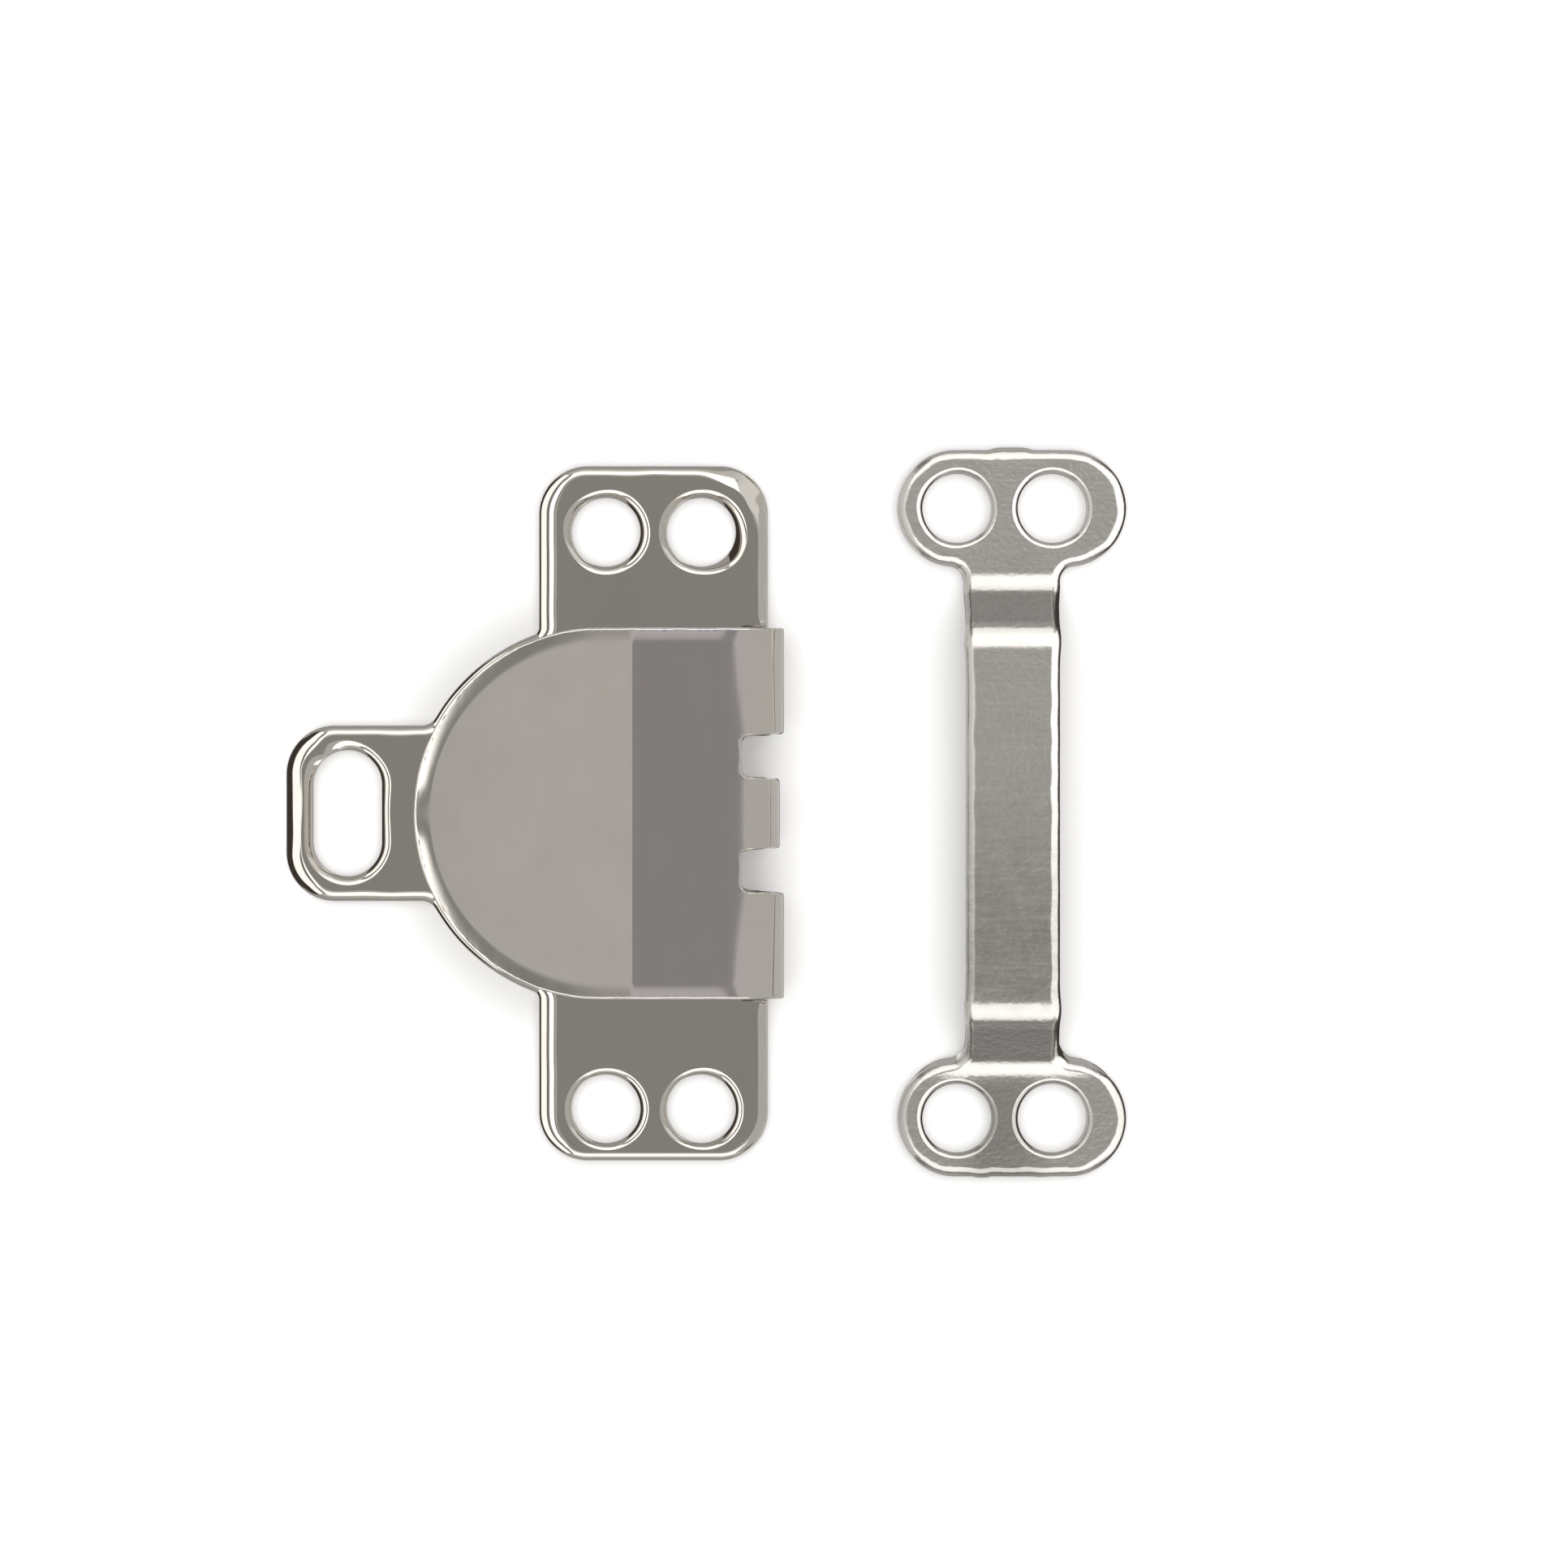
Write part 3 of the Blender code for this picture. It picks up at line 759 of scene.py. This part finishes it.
def worked(plan, path):
    """The outline with its marks: swellings beside the bends, the stub, and two lumps below.

    Also gives how strong the stub is at each point.
    """
    bar, out = plan.bar, -side_vectors(path)
    x, along = path[:, 0] - plan.middle_x, np.abs(path[:, 1])
    bend = plan.flat + plan.bend / 2
    low_bend = plan.flat + plan.bend + plan.riser + plan.foot_bend / 2
    swell = bell(along, bend, 0.42 * MM) + bell(along, low_bend, 0.45 * MM)
    swell = swell * np.abs(out[:, 0]) ** 4
    stub = bell(x, -0.03 * MM, bar.carrier_width / 2, 6) * smooth(0.6, 0.95, out[:, 1])
    lumps = bell(x, -0.86 * MM, 0.22 * MM, 4) + 0.5 * bell(x, 0.82 * MM, 0.2 * MM)
    lumps = lumps * smooth(0.6, 0.95, -out[:, 1])
    run, total = path_length(path)
    uneven = 0.003 * MM * wander(run, total, 1.4 * MM, 52)
    rise = bar.swelling * swell + bar.carrier_height * stub + bar.lump * lumps
    return path + out * (rise + uneven)[:, None], stub


def bar_rims(plan):
    sheet, bar = plan.sheet, plan.bar
    path, stub = worked(plan, bar_outline(plan))
    run, total = path_length(path)
    roll = bar.roll * (1 + 0.10 * wander(run, total, 1.8 * MM, 51)) + 0.10 * MM * stub
    rims = [Rim(path, relaxed(roll), sheet.thickness, steep=0.9)]
    middle = plan.middle_x - bar.hole_offset
    for number, (side, y) in enumerate(
        ((-1, plan.upper_foot), (1, plan.upper_foot), (-1, -plan.lower_foot), (1, -plan.lower_foot))
    ):
        loop = hole_loop((middle + side * sheet.hole_pitch / 2, y), sheet.hole / 2, sheet.spacing)
        rims.append(hole_rim(sheet, loop, bar.hole_roll, 61 + number))
    return rims


def bar_grid(plan):
    """Grid places: even on the flats and close together round the four bends."""
    flat = plan.sheet.flat_spacing
    first = np.linspace(plan.flat, plan.flat + plan.bend, 17)
    second = plan.flat + plan.bend + plan.riser + np.linspace(0, plan.foot_bend, 17)
    ramp = np.linspace(first[-1], second[0], 8)[1:-1]
    half = np.concatenate((
        np.arange(flat / 2, plan.flat - flat / 2, flat), first, ramp, second,
        np.arange(second[-1] + flat / 2, plan.upper_foot + plan.bar.foot_depth, flat),
    ))
    across = plan.middle_x + np.arange(-plan.half_width, plan.half_width, flat)
    return rows_and_columns(across, np.concatenate((-half[::-1], half)))


def bend_bar(plan, u, v, w):
    """The bridge: the middle line turns down by its distance over the bend radius, runs straight
    down the riser and turns level again, and the sheet's height is measured square to it.
    """
    bar, half = plan.bar, plan.sheet.thickness / 2
    w = w + ripple(u, v, 0.0015 * MM, 3.0 * MM, 7) * w / plan.sheet.thickness
    along, full = np.abs(v), bar.riser_turn
    level_start = plan.flat + plan.bend + plan.riser
    down = np.clip((along - plan.flat) / bar.bend_radius, 0, full)
    ramp = np.clip(along - plan.flat - plan.bend, 0, plan.riser)
    up = np.clip((along - level_start) / bar.foot_radius, 0, full)
    turn = down - up
    y = np.minimum(along, plan.flat) + bar.bend_radius * np.sin(down)
    y = y + ramp * math.cos(full) + bar.foot_radius * (math.sin(full) - np.sin(full - up))
    y = y + np.clip(along - level_start - plan.foot_bend, 0, None)
    z = plan.rise - bar.bend_radius * (1 - np.cos(down)) - ramp * math.sin(full)
    z = z - bar.foot_radius * (np.cos(full - up) - math.cos(full))
    lift = w - half
    y = y + lift * np.sin(turn)
    z = z + half + lift * np.cos(turn)
    return u, np.copysign(y, v) - bar.bridge_offset, z


# --- materials ----------------------------------------------------------------------------


class Nodes:
    """Short calls for building a material's or a world's node tree."""

    def __init__(self, tree):
        self.tree = tree

    def add(self, kind, inputs=None, **settings):
        node = self.tree.nodes.new(kind)
        for key, value in settings.items():
            setattr(node, key, value)
        for key, value in (inputs or {}).items():
            self.feed(node, key, value)
        return node

    def feed(self, node, key, value):
        """Links a socket into a node's input, or writes a plain value there."""
        if isinstance(value, bpy.types.NodeSocket):
            self.tree.links.new(value, node.inputs[key])
        else:
            node.inputs[key].default_value = value

    def math(self, operation, first, second=0.0):
        return self.add("ShaderNodeMath", {0: first, 1: second}, operation=operation).outputs[0]

    def ramp(self, value, low, high, to_low=0.0, to_high=1.0, kind="SMOOTHSTEP"):
        inputs = {"Value": value, 1: low, 2: high, 3: to_low, 4: to_high}
        return self.add("ShaderNodeMapRange", inputs, interpolation_type=kind).outputs[0]

    def noise(self, vector, scale, detail=2.0, rough=0.5, stretch=(1, 1, 1)):
        placed = self.add("ShaderNodeMapping", {"Vector": vector, "Scale": stretch}).outputs[0]
        inputs = {"Vector": placed, "Scale": scale, "Detail": detail, "Roughness": rough}
        return self.add("ShaderNodeTexNoise", inputs).outputs[0]

    def mix(self, share, first, second):
        inputs = {0: share, 6: first, 7: second}
        return self.add("ShaderNodeMix", inputs, data_type="RGBA").outputs[2]


def nickel(name, tint, scratch, roughness, grain):
    """Nickel plate: a metal with smears in its roughness, fine scratches and duller worn rims.

    scratch stretches the scratch pattern, and grain is the depth of the fine unevenness in
    metres. Gives the material, its nodes, the blank's coordinates, and the colour, which the
    caller still has to feed to the shader.
    """
    material = bpy.data.materials.new(name)
    material.use_nodes = True
    nodes = Nodes(material.node_tree)
    shader = material.node_tree.nodes["Principled BSDF"]
    shader.inputs["Metallic"].default_value = 1.0
    blank = nodes.add("ShaderNodeAttribute", attribute_name="blank").outputs["Vector"]
    edge = nodes.add("ShaderNodeAttribute", attribute_name="edge").outputs["Fac"]
    patches = nodes.noise(blank, 450, 4, 0.55)
    lines = nodes.noise(blank, 1.0, 3, 0.6, scratch)
    specks = nodes.noise(blank, 7000, 3, 0.6)
    stain = nodes.ramp(patches, 0.4, 0.7)
    worn = nodes.math("MULTIPLY", nodes.ramp(edge, 0.55, 1.0), stain)
    dark = tuple(channel * 0.97 for channel in tint) + (1.0,)
    colour = nodes.mix(stain, (*tint, 1.0), dark)
    rough = nodes.ramp(patches, 0.3, 0.7, roughness, roughness + SMEAR, "LINEAR")
    rough = nodes.math("ADD", rough, nodes.math("MULTIPLY", worn, 0.06))
    rough = nodes.math("ADD", rough, nodes.ramp(lines, 0.45, 0.7, 0.0, SMEAR, "LINEAR"))
    nodes.feed(shader, "Roughness", rough)
    lines, specks = nodes.math("MULTIPLY", lines, 0.15), nodes.math("MULTIPLY", specks, 0.85)
    relief = nodes.math("ADD", lines, specks)
    bump = nodes.add("ShaderNodeBump", {"Height": relief, "Strength": 1.0, "Distance": grain})
    nodes.feed(shader, "Normal", bump.outputs[0])
    return material, nodes, blank, colour


def bright_nickel(tint, plan):
    """The hook's plating: barrelled to a mirror, with a trace of violet where the tongue is level."""
    material, nodes, blank, colour = nickel("bright_nickel", tint, (2500, 400, 400), 0.07, 0.03e-6)
    place = nodes.add("ShaderNodeSeparateXYZ", {0: blank}).outputs[0]
    begin = plan.crease - plan.hook.seat_length
    begins = nodes.ramp(place, begin - 0.2 * MM, begin + 0.2 * MM)
    ends = nodes.ramp(place, plan.crease + 0.02 * MM, plan.crease - 0.02 * MM)
    violet = (tint[0] * 1.02, tint[1], tint[2] * 1.10, 1.0)
    colour = nodes.mix(nodes.math("MULTIPLY", begins, ends), colour, violet)
    nodes.feed(material.node_tree.nodes["Principled BSDF"], "Base Color", colour)
    return material


def satin_nickel(tint, plan):
    """The bar's plating: soft and scratched across.

    Its colour has painted shade: darker towards the lower end of the bridge, on both risers, and on
    the lower foot, most of all between its holes.
    """
    material, nodes, blank, colour = nickel("satin_nickel", tint, (700, 14000, 700), 0.18, 8.0e-6)
    across, place = nodes.add("ShaderNodeSeparateXYZ", {0: blank}).outputs[:2]
    clouds = nodes.noise(blank, 1600, 5, 0.7)
    fibres = nodes.noise(blank, 1.0, 4, 0.7, (900, 9000, 900))
    # painted shade: the colour darkens down the bridge towards its lower end; the same mask makes the
    # marks stronger there
    lower = nodes.ramp(place, 2.5 * MM, -plan.flat * 0.75)
    bridge = nodes.ramp(place, -plan.flat - plan.bend, -plan.flat + 0.3 * MM)
    lower_bridge_shade_and_marks = nodes.math("MULTIPLY", lower, bridge)
    clouds = nodes.ramp(clouds, 0.35, 0.68, -0.09, 0.09, "LINEAR")
    fibres = nodes.ramp(fibres, 0.35, 0.7, -0.06, 0.06, "LINEAR")
    faint = nodes.math("ADD", nodes.math("MULTIPLY", lower_bridge_shade_and_marks, 0.85), 0.15)
    marks = nodes.math("MULTIPLY", nodes.math("ADD", clouds, fibres), faint)
    along = nodes.math("ABSOLUTE", place)
    riser = plan.flat + plan.bend
    foot = riser + plan.riser
    # painted shade on both risers, where the slope turns away from the light
    riser_painted_shade = nodes.ramp(along, riser, riser + 0.25 * MM, 0.0, 0.23)
    off_riser = nodes.ramp(along, foot + 0.2 * MM, foot - 0.1 * MM)
    # painted shade on the lower foot, darkest between its holes
    aside = nodes.math("SUBTRACT", across, plan.middle_x - plan.bar.hole_offset)
    between = nodes.ramp(nodes.math("ABSOLUTE", aside), 1.7 * MM, 0.3 * MM, 0.10, 0.34)
    on_foot = nodes.ramp(place, -foot - 0.5 * MM, -foot - 1.2 * MM)
    level = nodes.math("ADD", marks, 1.0)
    # subtracts painted shade from the colour: down the bridge, on the risers, and on the lower foot
    # between its holes
    for first, second in ((lower_bridge_shade_and_marks, 0.24), (riser_painted_shade, off_riser), (between, on_foot)):
        level = nodes.math("SUBTRACT", level, nodes.math("MULTIPLY", first, second))
    # the plate colour scaled by the marks and by the painted shade
    marks_and_painted_shade = nodes.add("ShaderNodeVectorMath", {0: colour, "Scale": level}, operation="SCALE")
    nodes.feed(material.node_tree.nodes["Principled BSDF"], "Base Color", marks_and_painted_shade.outputs[0])
    return material


# --- the stage ----------------------------------------------------------------------------


def sky():
    """The room: a darker patch straight above, a light ceiling round it, and darkness below.

    Towards -X the ceiling is dark again outside a narrow ring, and it fades towards the horizon
    except towards +X.
    """
    world = bpy.data.worlds.new("studio")
    bpy.context.scene.world = world
    world.use_nodes = True
    nodes = Nodes(world.node_tree)
    back = world.node_tree.nodes["Background"]
    way = nodes.add("ShaderNodeTexCoord").outputs["Generated"]
    parts = nodes.add("ShaderNodeSeparateXYZ", {0: way})
    from_top = nodes.math("ARCCOSINE", parts.outputs[2])
    across = nodes.math("DIVIDE", parts.outputs[0], nodes.math("SINE", from_top))
    left = nodes.ramp(across, -0.55, -0.85)
    not_right = nodes.math("SUBTRACT", 1.0, nodes.ramp(across, 0.2, 0.7))

    def rising(start, stop, low, high):
        return nodes.ramp(from_top, math.radians(start), math.radians(stop), low, high)

    level = rising(5.5, 8, 0.27, 0.55)
    level = nodes.math("SUBTRACT", level, nodes.math("MULTIPLY", rising(11.5, 14, 0.0, 0.32), left))
    far = nodes.math("MULTIPLY", rising(44, 64, 0.0, 0.32), not_right)
    level = nodes.math("SUBTRACT", level, far)
    above = rising(90.03, 89.97, 0.0, 1.0)
    level = nodes.math("MULTIPLY", nodes.math("MAXIMUM", level, 0.05), above)
    level = nodes.math("ADD", level, 0.06)
    nodes.feed(back, "Strength", level)
    nodes.feed(back, "Color", nodes.mix(above, (1.0, 0.82, 0.72, 1.0), (1.0, 0.985, 0.96, 1.0)))


def softbox(name, turn, high, low, spread, radiance, seen_by, distance=0.5):
    """A rectangular lamp facing the origin, at a turn round Z, that lights only the given objects.

    high and low are the angles down from straight up between which the pieces see it, and spread
    is half the angle of its width, all in degrees.
    """
    middle, half = math.radians((high + low) / 2), math.radians((low - high) / 2)
    lamp = bpy.data.lights.new(name, "AREA")
    lamp.shape = "RECTANGLE"
    lamp.size = 2 * distance * math.tan(math.radians(spread))
    lamp.size_y = 2 * distance * math.tan(half)
    lamp.energy = radiance * math.pi * lamp.size * lamp.size_y
    obj = bpy.data.objects.new(name, lamp)
    bpy.context.scene.collection.objects.link(obj)
    flat = math.sin(middle)
    out = Vector((math.cos(turn) * flat, math.sin(turn) * flat, math.cos(middle)))
    obj.location = out * distance
    obj.rotation_euler = out.to_track_quat("Z", "Y").to_euler()
    obj.visible_camera = False
    group = bpy.data.collections.new(name + "_receivers")
    for receiver in seen_by:
        group.objects.link(receiver)
    obj.light_linking.receiver_collection = group


def ground():
    """A plain white table top, just below the pieces."""
    mesh = bpy.data.meshes.new("table_top")
    half = 0.6
    corners = [(-half, -half, 0), (half, -half, 0), (half, half, 0), (-half, half, 0)]
    mesh.from_pydata(corners, [], [(0, 1, 2, 3)])
    floor = bpy.data.objects.new("table_top", mesh)
    bpy.context.scene.collection.objects.link(floor)
    material = bpy.data.materials.new("white_paper")
    material.use_nodes = True
    shader = material.node_tree.nodes["Principled BSDF"]
    shader.inputs["Base Color"].default_value = (0.93, 0.93, 0.93, 1.0)
    shader.inputs["Roughness"].default_value = 0.9
    shader.inputs["Specular IOR Level"].default_value = 0.0
    mesh.materials.append(material)
    floor.visible_glossy = False
    floor.visible_shadow = False
    return floor


def camera():
    """Straight down from above, with a long lens."""
    data = bpy.data.cameras.new("camera")
    data.lens, data.sensor_width = 198.5, 36.0
    data.clip_start, data.clip_end = 0.01, 10.0
    obj = bpy.data.objects.new("camera", data)
    bpy.context.scene.collection.objects.link(obj)
    middle = (FRAME_BOX[0] + FRAME_BOX[1]) / 2
    obj.location = (middle[0] + 2.25 * MM, middle[1] + 0.845 * MM, 0.25)
    bpy.context.scene.camera = obj


# --- the add-on ---------------------------------------------------------------------------


class OBJECT_OT_hook(bpy.types.Operator):
    """Builds the hook"""

    bl_idname = "waistband.hook"
    bl_label = "Hook"

    def execute(self, context):
        sheet, hook = context.scene.sheet_settings, context.scene.hook_settings
        plan = HookPlan(sheet, hook)
        obj = pressing(
            "bright_hook", hook_rims(plan), hook_grid(plan), sheet.flat_spacing * 0.35,
            sheet.thickness, lambda u, v, w: bend_hook(plan, u, v, w),
        )
        obj.data.materials.append(bright_nickel(hook.plate, plan))
        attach(obj, "hook")
        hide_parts("hook")
        return {"FINISHED"}


class OBJECT_OT_bar(bpy.types.Operator):
    """Builds the bar"""

    bl_idname = "waistband.bar"
    bl_label = "Bar"

    def execute(self, context):
        sheet, bar = context.scene.sheet_settings, context.scene.bar_settings
        plan = BarPlan(sheet, bar)
        obj = pressing(
            "satin_bar", bar_rims(plan), bar_grid(plan), sheet.flat_spacing * 0.35,
            sheet.thickness, lambda u, v, w: bend_bar(plan, u, v, w),
        )
        obj.data.materials.append(satin_nickel(bar.plate, plan))
        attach(obj, "bar")
        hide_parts("bar")
        return {"FINISHED"}


class OBJECT_OT_stage(bpy.types.Operator):
    """Builds the table top, the lamps, the room and the camera"""

    bl_idname = "waistband.stage"
    bl_label = "Stage"

    def execute(self, context):
        hook, bar = [bpy.data.objects["bright_hook"]], [bpy.data.objects["satin_bar"]]
        floor = ground()
        sky()
        east, west, north, south = 0.0, math.pi, QUARTER, -QUARTER
        for name, turn in (("north", north), ("south", south)):
            softbox("hook_" + name, turn, 24, 64, 22, 1.3, hook)
            softbox("hook_low_" + name, turn, 64, 160, 34, 0.38, hook)
            softbox("bar_low_" + name, turn, 85, 168, 34, 0.50, bar)
        softbox("bar_north", north, 12, 74, 28, 1.15, bar)
        softbox("bar_south", south, 12, 64, 28, 1.15, bar)
        softbox("hook_key", west, 18, 36, 28, 1.9, hook)
        softbox("hook_low_key", west, 52, 103, 57, 1.5, hook)
        softbox("hook_fill", east, 89.8, 168, 48, 0.60, hook)
        softbox("hook_corner", QUARTER / 2, 30, 88, 16, 0.35, hook)
        softbox("bar_key", east, 18, 100, 46, 1.2, bar)
        softbox("bar_fill", west, 16, 168, 49, 0.70, bar)
        softbox("table_light", 0.0, -40, 40, 40, 1.6, [floor], 1.0)
        camera()
        context.scene.view_settings.view_transform = "Standard"
        return {"FINISHED"}


class VIEW3D_PT_waistband(bpy.types.Panel):
    """Lists the steps and the sizes"""

    bl_idname = "VIEW3D_PT_waistband"
    bl_label = "Hook and bar"
    bl_space_type = "VIEW_3D"
    bl_region_type = "UI"
    bl_category = "Hook and bar"

    def draw(self, context):
        for operator in STEPS:
            self.layout.operator(operator.bl_idname)
        for group in ("sheet_settings", "hook_settings", "bar_settings"):
            settings = getattr(context.scene, group)
            for key in settings.bl_rna.properties.keys():
                if key not in ("rna_type", "name"):
                    self.layout.prop(settings, key)


GROUPS = (
    ("sheet_settings", SheetSettings),
    ("hook_settings", HookSettings),
    ("bar_settings", BarSettings),
)
STEPS = (OBJECT_OT_hook, OBJECT_OT_bar, OBJECT_OT_stage)


def register():
    for name, group in GROUPS:
        bpy.utils.register_class(group)
        setattr(bpy.types.Scene, name, PointerProperty(type=group))
    for step in (*STEPS, VIEW3D_PT_waistband):
        bpy.utils.register_class(step)


def unregister():
    for step in reversed((*STEPS, VIEW3D_PT_waistband)):
        bpy.utils.unregister_class(step)
    for name, group in reversed(GROUPS):
        delattr(bpy.types.Scene, name)
        bpy.utils.unregister_class(group)


def main():
    """Builds everything in order."""
    register()
    bpy.ops.waistband.hook()
    bpy.ops.waistband.bar()
    bpy.ops.waistband.stage()


if __name__ == "__main__":
    main()
